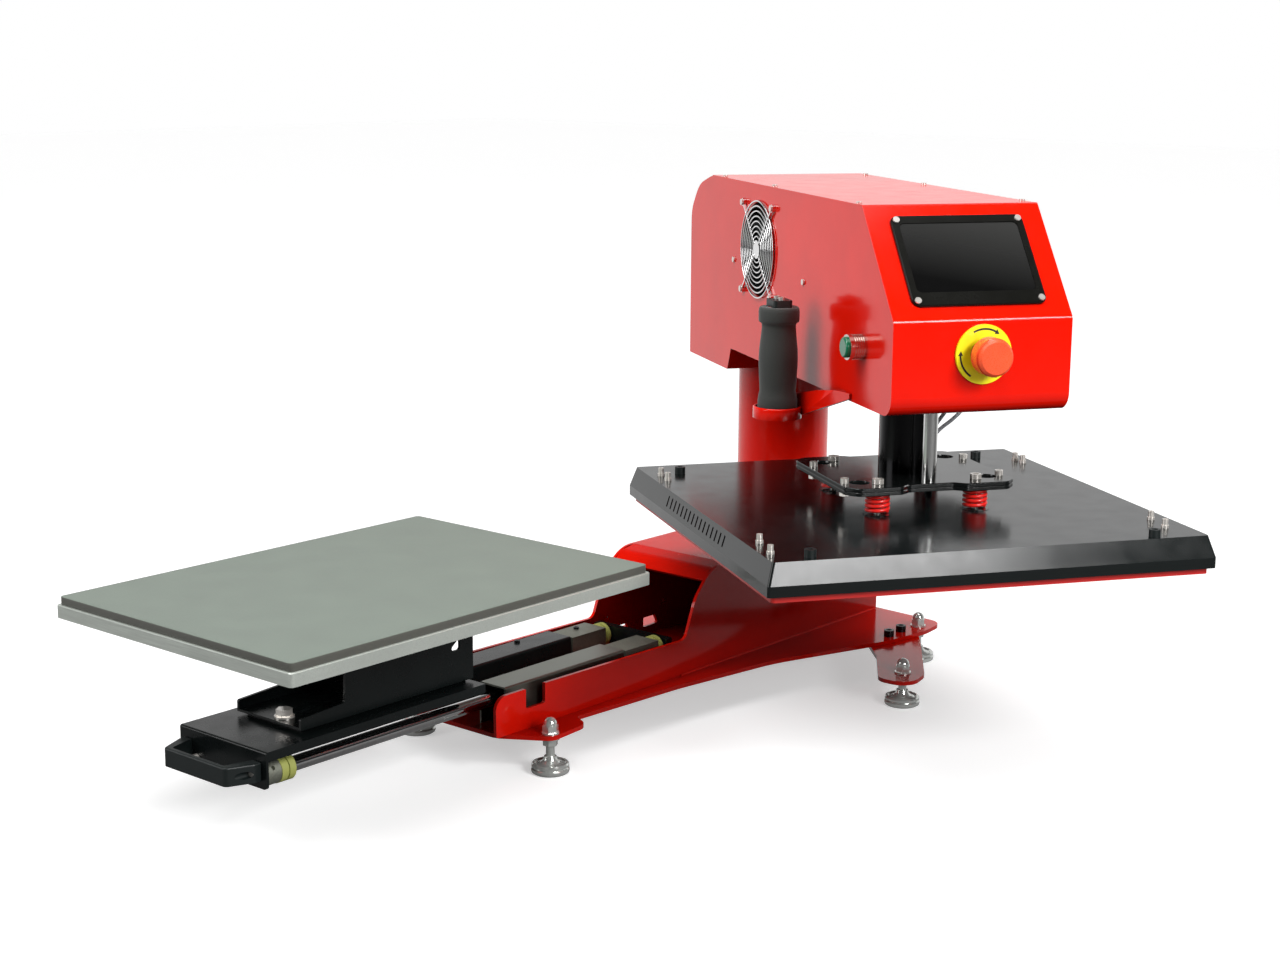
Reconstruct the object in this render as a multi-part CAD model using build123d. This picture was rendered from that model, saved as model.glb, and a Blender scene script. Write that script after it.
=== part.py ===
"""Swing-away heat press with a pull-out lower platen.

Millimetres, +Z up. The parts are drawn about the column's axis at floor level: +Y runs to the back
of the machine and the drawer pulls out towards -Y. Head parts are drawn with the head in line with
the drawer, then swung out by HEAD_OUT. At the end everything shifts so that the origin is the middle
of the whole machine's footprint.
"""
from build123d import *
from math import cos, hypot, pi, sin, sqrt
import os

# Stance
HEAD_OUT = 56.34          # head's swing angle in the stored pose, degrees

# Lower platen
PAD_X, PAD_Y, PAD_R = 360.0, 504.5, 5.0
PAD_TOP, PAD_BASE = 235.0, 226.2
PLATE_X, PLATE_Y, PLATE_R = 366.0, 510.0, 5.0
PLATE_BASE = 212.5
PAD_MID_Y = -738.75       # drawer out

# Drawer
DECK_X, DECK_TOP, DECK_T = 67.5, 108.0, 3.0
DECK_FRONT, DECK_REAR = -931.0, -625.0
FLANGE_BASE = 69.0
ROD_X, ROD_Z, ROD_R = 42.0, 77.0, 8.0
ROD_REAR = -305.0
BUMPER_R = 14.0
TRAY_X, TRAY_FRONT, TRAY_REAR = 50.0, -871.0, -626.0
TRAY_SHEET, TRAY_FLOOR = 3.0, 114.4
TRAY_BOLTS = [(8, -857), (-30, -670), (30, -670)]
HANDLE_Z = (77.5, 97.0)
HANDLE_SCREW = (55.5, 86.5)

# Base
SHEET = 4.0               # side plates
SIDE_X = 76.0             # outer faces of the side plates
FLOOR_PLATE = (40.0, 45.0)
BEAD_R = 2.0              # weld along the foot of each side plate
OUTRIGGER_PLATE = (35.0, 40.0)
BRIDGE_TOP = 170.0        # plate that carries the column
SIDE_FRONT, SIDE_REAR = -617.0, 117.0
FOOT_R, STUD_R = 21.5, 4.9
FOOT_XY = [(-106, -563), (106, -563), (-168, 79), (168, 79), (261, -97)]
OUTRIGGER_SCREWS = [(166, 14), (165, 43)]
CHANNEL_X = (22.0, 62.0)
CHANNEL_TOP = 93.5
CHANNEL_FRONT, CHANNEL_REAR = -588.0, -388.0
FRONT_BLOCK = (-538.0, -480.0)
REAR_BLOCK = (-382.0, -322.0)
CHANNEL_SCREW, BLOCK_SCREW = (-54.0, -448.0), (-48.0, -350.0)
COLUMN_R, COLUMN_WALL = 58.5, 6.0
COLUMN_TOP = 452.0
HUB = (482.3, 594.0)
HUB_R, SHAFT_R = 45.0, 24.0

# Head, drawn in line with the drawer
HEAD_X = 100.0
HEAD_SHEET = 2.5
HEAD_TOP = 628.0
HEAD_UNDER = 418.0
HEAD_REAR_UNDER = 390.0
SCREEN_TOP = (-504.0, 628.0)
SCREEN_FOLD = (-597.0, 517.0)
HEAD_REAR = 92.0
CHASSIS = (486.0, 494.0)
LID_SCREWS = [(x, y) for x in (-94, 94) for y in (-30, -215, -480)]
PANEL_SCREWS = [(-87, 530), (-334, 529)]
FAN_Y, FAN_Z, FAN_PITCH = -179.0, 551.0, 105.0
BUTTON_Y, BUTTON_Z = -516.0, 481.0
STOP_Z = 481.5
GRIP_X, GRIP_Y, GRIP_Z = -142.0, -372.0, (391.0, 507.0)
CUP_R = 27.2

# Press, drawn in line with the drawer
PRESS_Y = -402.0
RAM_R = 29.0
LIFT_PLATE = (313.0, 317.5, 322.0)
GUIDE_XY, GUIDE_R = (4.0, -463.0), 8.2
CABLE_EXIT = [(70, -385), (92, -385)]
CABLE_GLAND = [(47, -367), (51, -356)]
CABLE_R = 2.2
SPRING_XY = [(x, y) for x in (-58.0, 58.0) for y in (-468.0, -334.0)]
JOIN_XY = [(x, y) for x in (-92.0, 92.0) for y in (-455.0, -359.0)]
HOLE_XY = [(x, y) for x in (-75.5, 75.5) for y in (-457.0, -341.0)]
HOLE_R = 11.5
HOOD_TOP, HOOD_EDGE, SKIRT_BASE, BAND_BASE = 288.4, 265.4, 254.0, 246.4
HOOD_X, HOOD_Y = 500.0, 510.0
HOOD_SLOPE = 7.0
HOOD_SHEET = 2.0
HOOD_SCREWS = [(-229, -212), (-229, -240), (-228, -566), (-233, -614), (158, -223),
               (224, -226), (226, -243), (221, -567), (216, -606)]
HOOD_CAPS = [(-203, -204), (-198, -635), (183, -199), (184, -641)]
HOOD_SCREWS_IN = [(158, -223)]
WIRE_R, COIL_R, TURNS = 2.0, 12.0, 4

parts = {}


def block(x, y, z):
    """Box between two limits on each axis."""
    mid = [(a + b) / 2 for a, b in (x, y, z)]
    return Pos(*mid) * Box(x[1] - x[0], y[1] - y[0], z[1] - z[0])


def pin(x, y, z, r):
    """Upright cylinder between two heights."""
    return Pos(x, y, (z[0] + z[1]) / 2) * Cylinder(r, z[1] - z[0])


def pin_x(x, y, z, r):
    """Cylinder along X between two limits."""
    return Pos((x[0] + x[1]) / 2, y, z) * Rot(0, 90, 0) * Cylinder(r, x[1] - x[0])


def pin_y(x, y, z, r):
    """Cylinder along Y between two limits."""
    return Pos(x, (y[0] + y[1]) / 2, z) * Rot(90, 0, 0) * Cylinder(r, y[1] - y[0])


def outline(points):
    """Closed face through corners given as (u, v, corner radius)."""
    return make_face(FilletPolyline(*[(u, v) for u, v, _ in points],
                                    radius=[r for _, _, r in points], close=True))


def slab(points, z):
    """Plan outline between two heights."""
    return extrude(Plane.XY.offset(z[0]) * outline(points), amount=z[1] - z[0])


def profile(points, x):
    """Side outline in Y and Z between two X limits."""
    return extrude(Plane.YZ.offset(x[0]) * outline(points), amount=x[1] - x[0])


def pad(x, y, z, r, mid=(0, 0)):
    """Round-cornered plate of size x by y between two heights."""
    return extrude(Plane.XY.offset(z[0]) * Pos(*mid) * RectangleRounded(x, y, r), amount=z[1] - z[0])


def mirrored(points):
    """Right half of an outline, front to back, joined to its mirror image."""
    return points + [(-x, y, r) for x, y, r in reversed(points)]


def hexagon(x, y, z, flats):
    """Upright hexagonal prism, size across its flats."""
    face = Plane.XY.offset(z[0]) * Pos(x, y) * RegularPolygon(flats / sqrt(3), 6)
    return extrude(face, amount=z[1] - z[0])


def dome(x, y, z, r, height):
    """Round nut top: a ball cut flat."""
    ball_r = (r * r + height * height) / (2 * height)
    ball = Pos(x, y, z + height - ball_r) * Sphere(ball_r)
    return ball & pin(x, y, (z, z + height + 1), r + 1)


def cap_screw(x, y, z, r, height, down=0.0):
    """Socket screw standing on z, with a hexagon recess and a shank below."""
    screw = pin(x, y, (z, z + height), r) - hexagon(x, y, (z + height * 0.45, z + height + 1), r)
    if down:
        screw += pin(x, y, (z - down, z), r * 0.55)
    return screw


def add(name, shape):
    parts[name] = shape


# Base
def base_outline():
    right = [(64, -606, 30), (118, -571, 15), (113, -512, 17), (88, -500, 8), (99, -331, 400),
             (121, -172, 260), (178, -5, 150), (188, 66, 60), (182, 115, 22), (80, 121, 2)]
    return mirrored(right)


def outrigger_outline():
    return [(146, -8, 10), (196, -58, 12), (250, -134, 20), (295, -132, 22), (284, -84, 40),
            (204, 30, 30), (178, 64, 18), (146, 60, 10)]


def base_plates():
    floor = slab(base_outline(), FLOOR_PLATE)
    for x, y in FOOT_XY[:4]:
        floor -= pin(x, y, (30, 60), 5.2)
    out = slab(outrigger_outline(), OUTRIGGER_PLATE)
    x, y = FOOT_XY[4]
    out -= pin(x, y, (30, 60), 5.2)
    for x, y in OUTRIGGER_SCREWS:
        floor -= pin(x, y, (30, 60), 4.2)
        out -= pin(x, y, (30, 60), 4.2)
    add("base_plate", floor)
    add("outrigger_plate", out)


def side_outline():
    return [(SIDE_FRONT, 45, 3), (-618, 91, 16), (-570, 91, 1.5), (-570, 68, 3), (-539, 68, 3),
            (-539, 91, 1.5), (-291, 88, 11), (-272, 135, 60), (-240, BRIDGE_TOP, 55),
            (SIDE_REAR, BRIDGE_TOP, 6), (SIDE_REAR, 45, 2)]


def side_plates():
    inner = SIDE_X - SHEET
    right = profile(side_outline(), (inner, SIDE_X))
    left = profile(side_outline(), (-SIDE_X, -inner))
    cut = (-SIDE_X - 1, -inner + 1)
    for y in (-195, -251):
        left -= profile([(y, 55.5, 2), (y, 68, 2), (y + 23, 68, 2), (y + 29, 56.5, 2)], cut)
    for y in (-155, -265):
        left -= pin_x(cut, y, 83, 1.6)
    seam = (-300, SIDE_REAR - 4)
    for side, plate in (("right", right), ("left", left)):
        out = 1 if side == "right" else -1
        base = FLOOR_PLATE[1]
        bead = pin_y(out * SIDE_X, seam, base, BEAD_R)
        bead &= block((-100, 100), seam, (base, base + BEAD_R))
        add("side_plate_" + side, plate + bead)


def bridge():
    """Top plate and rear panel in one bent sheet, and the curved front cover."""
    inner = SIDE_X - SHEET - 0.2
    top = block((-inner, inner), (-215, SIDE_REAR - 1), (BRIDGE_TOP - 6, BRIDGE_TOP))
    rear = block((-inner, inner), (SIDE_REAR - 5, SIDE_REAR - 1), (45, BRIDGE_TOP - 6))
    inlet = block((-14.5, 14.5), (SIDE_REAR - 7, SIDE_REAR), (76, 96))
    cover = [(-251, 151, 0.4), (-238, 161, 20), (-215, 164, 0.4), (-215, BRIDGE_TOP, 0.4),
             (-240, 165.5, 24), (-254, 154, 0.4)]
    add("column_bridge", top + rear - inlet + profile(cover, (-inner, inner)))
    body = block((-14, 14), (SIDE_REAR - 21, SIDE_REAR - 0.8), (76.5, 95.5))
    flange = block((-25, 25), (SIDE_REAR - 0.8, SIDE_REAR + 1.6), (74, 98))
    socket = block((-11, 11), (SIDE_REAR - 14, SIDE_REAR + 3), (80, 92))
    blades = [block((x - 1, x + 1), (SIDE_REAR - 15, SIDE_REAR - 2), (83, 89)) for x in (-6.5, 0, 6.5)]
    inlet_body = body + flange - socket
    for blade in blades:
        inlet_body += blade
    add("power_inlet", inlet_body)


def base_screws():
    screws = [cap_screw(x, y, FLOOR_PLATE[1], 6.5, 8, 9.5) for x, y in OUTRIGGER_SCREWS]
    screws.append(cap_screw(*CHANNEL_SCREW, CHANNEL_TOP, 3.4, 2.6, 1.6))
    screws.append(cap_screw(*BLOCK_SCREW, ROD_Z + 13.5, 3.4, 2.6))
    for x in (-50, 50):
        screws += [cap_screw(x, y, BRIDGE_TOP + 10, 6.5, 8) for y in (-50, 50)]
    add("base_screws", Compound(children=screws))


def levelling_feet():
    """Grooved discs on studs, each with a nut under the plate and a domed nut above it."""
    r = FOOT_R
    rim = [(0, 0), (r - 2.4, 0), (r - 0.6, 1.2), (r, 3), (r, 5.4), (r - 1.4, 6.6),
           (r - 0.5, 7.8), (r - 0.5, 10), (r - 1.8, 11.8), (r - 4, 12.2), (r - 6, 10.8),
           (11, 12.2), (8.4, 15), (7, 19), (0, 19)]
    disc = revolve(make_face(Plane.XZ * Polyline(*rim, close=True)), Axis.Z)
    pieces = []
    for i, (x, y) in enumerate(FOOT_XY):
        low, high = OUTRIGGER_PLATE if i == 4 else FLOOR_PLATE
        foot = disc + pin(0, 0, (18, high + 12), STUD_R)
        lock = pin(0, 0, (low - 1.8, low), 10.5) + hexagon(0, 0, (low - 8.5, low - 1.8), 15)
        lock -= pin(0, 0, (0, 60), STUD_R + 0.06)
        nut = pin(0, 0, (high, high + 1.8), 10) + hexagon(0, 0, (high + 1.8, high + 9.5), 16)
        nut += pin(0, 0, (high + 9.5, high + 12.5), 7.4) + dome(0, 0, high + 12.5, 7.4, 6)
        nut -= pin(0, 0, (high - 1, high + 12.05), STUD_R + 0.06)
        pieces += [Pos(x, y, 0) * piece for piece in (foot, lock, nut)]
    add("levelling_feet", Compound(children=pieces))


def guides():
    """Covered guide channels, with the bearing blocks that the drawer's rods run in."""
    for side, name in ((-1, "guide_channel_left"), (1, "guide_channel_right")):
        x0, x1 = CHANNEL_X
        sheet = block((x0, x1), (CHANNEL_FRONT, CHANNEL_REAR), (FLOOR_PLATE[1], CHANNEL_TOP))
        sheet = fillet(sheet.edges().filter_by(Axis.Y).group_by(Axis.Z)[-1], 3)
        sheet -= block((x0 + 2, x1 - 2), (CHANNEL_FRONT - 1, CHANNEL_REAR + 1), (0, CHANNEL_TOP - 2))
        if side < 0:
            sheet -= pin(-CHANNEL_SCREW[0], CHANNEL_SCREW[1], (CHANNEL_TOP - 3, CHANNEL_TOP + 1), 1.9)
        add(name, sheet if side > 0 else mirror(sheet, Plane.YZ))
    blocks = []
    for x in (-ROD_X, ROD_X):
        for y0, y1 in (FRONT_BLOCK, REAR_BLOCK):
            body = block((x - 17.5, x + 17.5), (y0, y1), (FLOOR_PLATE[1], ROD_Z + 13.5))
            body -= pin_y(x, (y0 - 1, y1 + 1), ROD_Z, ROD_R + 0.05)
            for end in (y0, y1):
                groove = pin_y(x, (end - 1.2, end + 1.2), ROD_Z, 12.6)
                body -= groove - pin_y(x, (end - 2, end + 2), ROD_Z, 11.4)
            blocks.append(body)
    add("bearing_blocks", Compound(children=blocks))


def column():
    tube = pin(0, 0, (BRIDGE_TOP + 10, COLUMN_TOP - 10), COLUMN_R)
    tube -= pin(0, 0, (BRIDGE_TOP + 10, COLUMN_TOP - 10), COLUMN_R - COLUMN_WALL)
    foot = pad(134, 134, (BRIDGE_TOP, BRIDGE_TOP + 10), 12)
    cap = pin(0, 0, (COLUMN_TOP - 10, COLUMN_TOP), COLUMN_R)
    add("column", tube + foot + cap)
    shaft = pin(0, 0, (COLUMN_TOP, COLUMN_TOP + 14), 32)
    shaft += pin(0, 0, (COLUMN_TOP + 14, HUB[1] + 2), SHAFT_R)
    shaft += pin(0, 0, (HUB[1] + 2, HUB[1] + 10), 30)
    add("swivel_shaft", shaft)
    race = pin(0, 0, (COLUMN_TOP + 14, HUB[0] - 0.3), 40) - pin(0, 0, (0, 600), SHAFT_R)
    add("thrust_bearing", race)


# Drawer
def drawer_deck():
    x = DECK_X
    top = block((-x, x), (DECK_FRONT, DECK_REAR), (DECK_TOP - 10, DECK_TOP))
    top -= block((-x + DECK_T, x - DECK_T), (DECK_FRONT + DECK_T, DECK_REAR + 1), (0, DECK_TOP - DECK_T))
    front = block((-x, x), (DECK_FRONT, DECK_FRONT + DECK_T), (FLANGE_BASE, DECK_TOP - 4))
    deck = top + front
    deck = fillet(deck.edges().filter_by(Axis.X).group_by(Axis.Z)[-1].sort_by(Axis.Y)[0], 2.4)
    corners = deck.edges().filter_by(Axis.Y).group_by(Axis.Z)[0]
    deck = fillet(corners, 5)
    for side in (-1, 1):
        deck -= pin_y(side * HANDLE_SCREW[0], (DECK_FRONT - 1, DECK_FRONT + 5), HANDLE_SCREW[1], 2.6)
        deck -= pin_y(side * ROD_X, (DECK_FRONT - 1, DECK_FRONT + 5), ROD_Z, 3.2)
    for x, y in TRAY_BOLTS:
        deck -= pin(x, y, (90, 120), 4.3)
    add("drawer_deck", deck)


def drawer_handle():
    """Moulded pull: two feet on the flange and a front bar, with finger room between."""
    y = DECK_FRONT
    bow = [(60, y, 1), (60, y - 8, 3), (48, y - 36, 6)]
    body = slab(mirrored(bow), HANDLE_Z)
    hole = [(49, y + 1, 1), (41, y - 31, 4)]
    body -= slab(mirrored(hole), (60, 100))
    body = fillet(body.edges().group_by(Axis.Z)[-1].sort_by(Axis.Y)[0:3], 2)
    x, z = HANDLE_SCREW
    for side in (-1, 1):
        body -= pin_y(side * x, (y - 6, y + 1), z, 2.6) + pin_y(side * x, (y - 60, y - 6), z, 3.8)
    add("drawer_handle", body)


def drawer_screws():
    """Handle screws, rod end screws and the bolts that hold the tray to the deck."""
    screws = []
    for side in (-1, 1):
        x, z = side * HANDLE_SCREW[0], HANDLE_SCREW[1]
        head = pin_y(x, (DECK_FRONT - 10, DECK_FRONT - 6), z, 3.5)
        shank = pin_y(x, (DECK_FRONT - 6, DECK_FRONT + 6), z, 2.5)
        screws.append(head + shank)
        nut = pin_y(side * ROD_X, (DECK_FRONT - 4, DECK_FRONT), ROD_Z, 5.5)
        nut += pin_y(side * ROD_X, (DECK_FRONT, DECK_FRONT + DECK_T), ROD_Z, 3.1)
        screws.append(nut)
    for x, y in TRAY_BOLTS:
        bolt = pin(x, y, (TRAY_FLOOR, TRAY_FLOOR + 1.8), 10.5)
        bolt += hexagon(x, y, (TRAY_FLOOR + 1.8, TRAY_FLOOR + 8.8), 15)
        screws.append(bolt + pin(x, y, (DECK_TOP - 7, TRAY_FLOOR), 4))
    for x in (-120, 120):
        for y in (-180, 180):
            screws.append(pin(x, PAD_MID_Y + y, (PLATE_BASE - 4, PLATE_BASE), 6))
    add("drawer_screws", Compound(children=screws))


def slide_rods():
    rods, collars, bumpers = [], [], []
    back = DECK_FRONT + DECK_T
    for x in (-ROD_X, ROD_X):
        rods.append(pin_y(x, (back, ROD_REAR), ROD_Z, ROD_R))
        collar = pin_y(x, (-919, -901), ROD_Z, BUMPER_R - 0.6) - pin_y(x, (-930, -890), ROD_Z, ROD_R)
        collar -= Pos(x + 11, -911, ROD_Z + 7) * Rot(0, 55, 0) * Cylinder(2.4, 8)
        collars.append(collar)
        for y0, y1 in ((-901, -883), (REAR_BLOCK[1] + 0.3, REAR_BLOCK[1] + 14)):
            ring = pin_y(x, (y0, y1), ROD_Z, BUMPER_R)
            mid = (y0 + y1) / 2
            ring -= pin_y(x, (mid - 1, mid + 1), ROD_Z, BUMPER_R + 1) - pin_y(x, (y0, y1), ROD_Z, 12.6)
            bumpers.append(ring - pin_y(x, (y0 - 1, y1 + 1), ROD_Z, ROD_R))
    add("slide_rods", Compound(children=rods))
    add("rod_collars", Compound(children=collars))
    add("rod_bumpers", Compound(children=bumpers))
    tie = block((-58, 58), (ROD_REAR, ROD_REAR + 10), (66, 88))
    for x in (-ROD_X, ROD_X):
        tie += pin_y(x, (ROD_REAR + 10, ROD_REAR + 13), ROD_Z, 6)
    add("rod_crossbar", tie)


def platen_tray():
    """U-shaped sheet on a spacer plate, holding the lower platen above the deck."""
    x = TRAY_X
    under = TRAY_FLOOR - TRAY_SHEET
    side = [(TRAY_FRONT, under, 0.5), (TRAY_FRONT, 124, 2.5), (-812, 127.5, 3), (-808, PLATE_BASE, 2),
            (TRAY_REAR, PLATE_BASE, 2), (TRAY_REAR, under, 0.5)]
    tray = profile(side, (-x, x))
    inner = x - TRAY_SHEET
    tray -= block((-inner, inner), (TRAY_FRONT - 1, TRAY_REAR + 1), (TRAY_FLOOR, PLATE_BASE + 1))
    tray += block((8 - x, x - 8), (TRAY_FRONT + 7, TRAY_REAR - 4), (DECK_TOP, under))
    for side_x in (-1, 1):
        lip = block((x, x + 32), (-770, TRAY_REAR), (PLATE_BASE - 3, PLATE_BASE))
        tray += lip if side_x > 0 else mirror(lip, Plane.YZ)
        window = [(-664, 148, 3), (-646, 148, 3), (-646, 162, 3)]
        tray -= profile(window, (side_x * x - 5, side_x * x + 5))
    for x, y in TRAY_BOLTS:
        tray -= pin(x, y, (100, 120), 4.3)
    slot = Plane.XY.offset(100) * Pos(8, -829) * Rot(0, 0, 90) * SlotOverall(18, 7)
    add("platen_tray", tray - extrude(slot, amount=20))


def lower_platen():
    mid = (0, PAD_MID_Y)
    plate = pad(PLATE_X, PLATE_Y, (PLATE_BASE, PAD_BASE), PLATE_R, mid)
    plate = chamfer(plate.edges().group_by(Axis.Z)[-1], 0.7)
    add("lower_platen", plate)
    mat = pad(PAD_X, PAD_Y, (PAD_BASE, PAD_TOP), PAD_R, mid)
    add("silicone_pad", chamfer(mat.edges().group_by(Axis.Z)[-1], 0.8))


# Head
def head_points(inset=0.0):
    """Side outline of the head, moved inwards by the sheet's thickness."""
    i = inset
    return [(HEAD_REAR - i, HEAD_REAR_UNDER + i, 2), (HEAD_REAR - i, 578, 36), (60, 613 - i, 60),
            (4, HEAD_TOP - i, 120), (SCREEN_TOP[0] + 0.6 * i, HEAD_TOP - i, 3),
            (SCREEN_FOLD[0] + i, SCREEN_FOLD[1] - 0.4 * i, 6), (SCREEN_FOLD[0] + i, HEAD_UNDER + i, 20),
            (-79 + 0.64 * i, HEAD_UNDER + i, 2), (-66 + 0.64 * i, HEAD_REAR_UNDER + i, 2)]


def head_housing():
    i = HEAD_SHEET
    shell = profile(head_points(), (-HEAD_X, HEAD_X))
    shell -= profile(head_points(i), (-HEAD_X + i, HEAD_X - i))
    lid_y = (SCREEN_TOP[0] + 2, 4)
    shell -= block((-HEAD_X - 1, HEAD_X + 1), lid_y, (HEAD_TOP - 2, HEAD_TOP + 1))
    opening = block((-84, 84), (lid_y[0] + 14, lid_y[1] - 14), (HEAD_TOP - 4, HEAD_TOP + 1))
    shell -= opening
    shell -= pin(0, 0, (380, 400), COLUMN_R + 3)
    shell -= pin(0, PRESS_Y, (410, 425), RAM_R + 4)
    shell -= pin(*GUIDE_XY, (410, 425), GUIDE_R + 2.5)
    shell -= pin_x((-HEAD_X - 1, -HEAD_X + 4), FAN_Y, FAN_Z, 56)
    shell -= pin_x((-HEAD_X - 1, -HEAD_X + 4), BUTTON_Y, BUTTON_Z, 11.2)
    shell -= pin_y(0, (SCREEN_FOLD[0] - 1, SCREEN_FOLD[0] + 4), STOP_Z, 11.2)
    shell -= screen_place() * Pos(0, 3, 0) * Box(128, 72, 12)
    for x, y in CABLE_EXIT:
        shell -= pin(x, y, (410, 425), 3.4)
    add("head_shell", shell)
    lid = block((-HEAD_X, HEAD_X), (lid_y[0] + 0.3, lid_y[1] - 0.3), (HEAD_TOP - 2, HEAD_TOP))
    for x, y in LID_SCREWS:
        lid -= pin(x, y, (HEAD_TOP - 3, HEAD_TOP + 1), 1.9)
    add("head_lid", lid)


def screen_place():
    """Frame on the sloped face: local X across, local Y up the slope, Z out of the face."""
    dy = SCREEN_TOP[0] - SCREEN_FOLD[0]
    dz = SCREEN_TOP[1] - SCREEN_FOLD[1]
    mid_y = (SCREEN_TOP[0] + SCREEN_FOLD[0]) / 2 - 0.6
    mid_z = (SCREEN_TOP[1] + SCREEN_FOLD[1]) / 2 + 0.5
    return Plane(origin=(0, mid_y, mid_z), x_dir=(1, 0, 0), z_dir=(0, -dz, dy)).location


def screen():
    place = screen_place()
    bezel = extrude(RectangleRounded(150, 112, 9), amount=3)
    bezel = chamfer(bezel.edges().group_by(Axis.Z)[-1], 1)
    bezel -= Pos(0, 3, 0) * extrude(RectangleRounded(134, 86, 6), amount=10)
    for x in (-69, 69):
        for y in (-50, 50):
            bezel -= Pos(x, y, 0) * Cylinder(1.8, 10)
    add("screen_bezel", place * bezel)
    glass = Pos(0, 3, -6) * extrude(RectangleRounded(133.4, 85.4, 5.7), amount=8)
    glass -= Pos(0, 3, -4) * Box(140, 100, 8.2) - Pos(0, 3, -4) * Box(126, 70, 9)
    add("screen_glass", place * glass)


def chassis():
    """Load-carrying plate inside the head, from the swivel hub to the press actuator."""
    z0, z1 = CHASSIS
    frame = block((-70, 70), (-485, 60), (z0, z1))
    frame -= pin(0, 0, (z0 - 1, z1 + 1), HUB_R)
    frame -= pin(0, PRESS_Y, (z0 - 1, z1 + 1), RAM_R + 1.5)
    for x in (-68, 68):
        frame += block((x - 2, x + 2), (-455, -90), (HEAD_UNDER + HEAD_SHEET, z0))
    add("head_chassis", frame)
    hub = pin(0, 0, HUB, HUB_R) - pin(0, 0, (HUB[0] - 1, HUB[1] + 1), SHAFT_R + 0.05)
    add("swivel_hub", hub)
    actuator = pin(0, PRESS_Y, (z1, z1 + 8), 45) + pin(0, PRESS_Y, (z1 + 8, 606), 38)
    actuator -= pin(0, PRESS_Y, (z1 - 1, 598), RAM_R + 0.8)
    motor = pin(0, PRESS_Y + 74, (z1 + 8, 600), 30)
    motor += block((-30, 30), (PRESS_Y + 30, PRESS_Y + 104), (z1, z1 + 8))
    add("press_actuator", actuator + motor)
    bushes = []
    for (x, y), r, wall in (((0, PRESS_Y), RAM_R, 4.4), (GUIDE_XY, GUIDE_R, 4.0)):
        bush = pin(x, y, (424, z0), r + wall) - pin(x, y, (420, z0 + 1), r + 0.05)
        bushes.append(bush)
    add("guide_bushes", Compound(children=bushes))


def electronics():
    z = CHASSIS[1]
    supply = block((-20, 66), (-290, -110), (z, z + 42))
    for k in range(9):
        y = -280 + k * 20
        supply -= block((-21, 67), (y, y + 6), (z + 39, z + 43))
    add("power_supply", supply)
    board = block((-16, 62), (-286, -114), (z + 50, z + 52))
    for x, y in ((-12, -282), (58, -282), (-12, -118), (58, -118)):
        board += pin(x, y, (z + 42, z + 50), 3)
    for x, y, w, h in ((0, -250, 30, 9), (30, -210, 22, 14), (10, -170, 34, 6), (40, -140, 20, 12)):
        board += block((x - w / 2, x + w / 2), (y - 10, y + 10), (z + 52, z + 52 + h))
    add("control_board", board)


def emergency_stop():
    """Mushroom that pushes in along Y and twists to release."""
    face = SCREEN_FOLD[0]
    ring = pin_y(0, (face - 2.5, face), STOP_Z, 31) - pin_y(0, (face - 3, face + 1), STOP_Z, 11.2)
    add("estop_ring", ring)
    switch = pin_y(0, (face - 6.5, face - 2.5), STOP_Z, 15) + pin_y(0, (face - 6.5, face + 12), STOP_Z, 11)
    switch += block((-15, 15), (face + 12, face + 52), (STOP_Z - 15, STOP_Z + 15))
    switch -= pin_y(0, (face - 7, face + 30), STOP_Z, 7.1)
    add("estop_switch", switch)
    plunger = pin_y(0, (face - 22, face + 20), STOP_Z, 7)
    add("estop_plunger", plunger)
    front = face - 34
    cap = pin_y(0, (front + 6, face - 14), STOP_Z, 20)
    cap += pin_y(0, (front, front + 6), STOP_Z, 19)
    cap = chamfer(cap.edges().group_by(Axis.Y)[0], 2.4)
    cap += pin_y(0, (face - 14, face - 12.5), STOP_Z, 17)
    cap -= pin_y(0, (face - 22.1, face), STOP_Z, 7.05)
    add("estop_button", cap)


def start_button():
    wall = -HEAD_X
    collar = pin_x((wall - 18, wall), BUTTON_Y, BUTTON_Z, 13.5)
    for k in range(5):
        x = wall - 3 - 2.4 * k
        groove = pin_x((x - 0.6, x + 0.6), BUTTON_Y, BUTTON_Z, 15)
        collar -= groove - pin_x((x - 1, x + 1), BUTTON_Y, BUTTON_Z, 12.9)
    collar += pin_x((wall, wall + 42), BUTTON_Y, BUTTON_Z, 11)
    collar -= pin_x((wall - 19, wall - 8), BUTTON_Y, BUTTON_Z, 11.1)
    collar -= pin_x((wall - 9, wall + 24), BUTTON_Y, BUTTON_Z, 6.1)
    add("button_collar", collar)
    button = pin_x((wall - 22.5, wall - 12.5), BUTTON_Y, BUTTON_Z, 11.05)
    button = fillet(button.edges().group_by(Axis.X)[0], 2.5)
    button += pin_x((wall - 13, wall + 16), BUTTON_Y, BUTTON_Z, 6)
    add("green_button", button)


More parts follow.
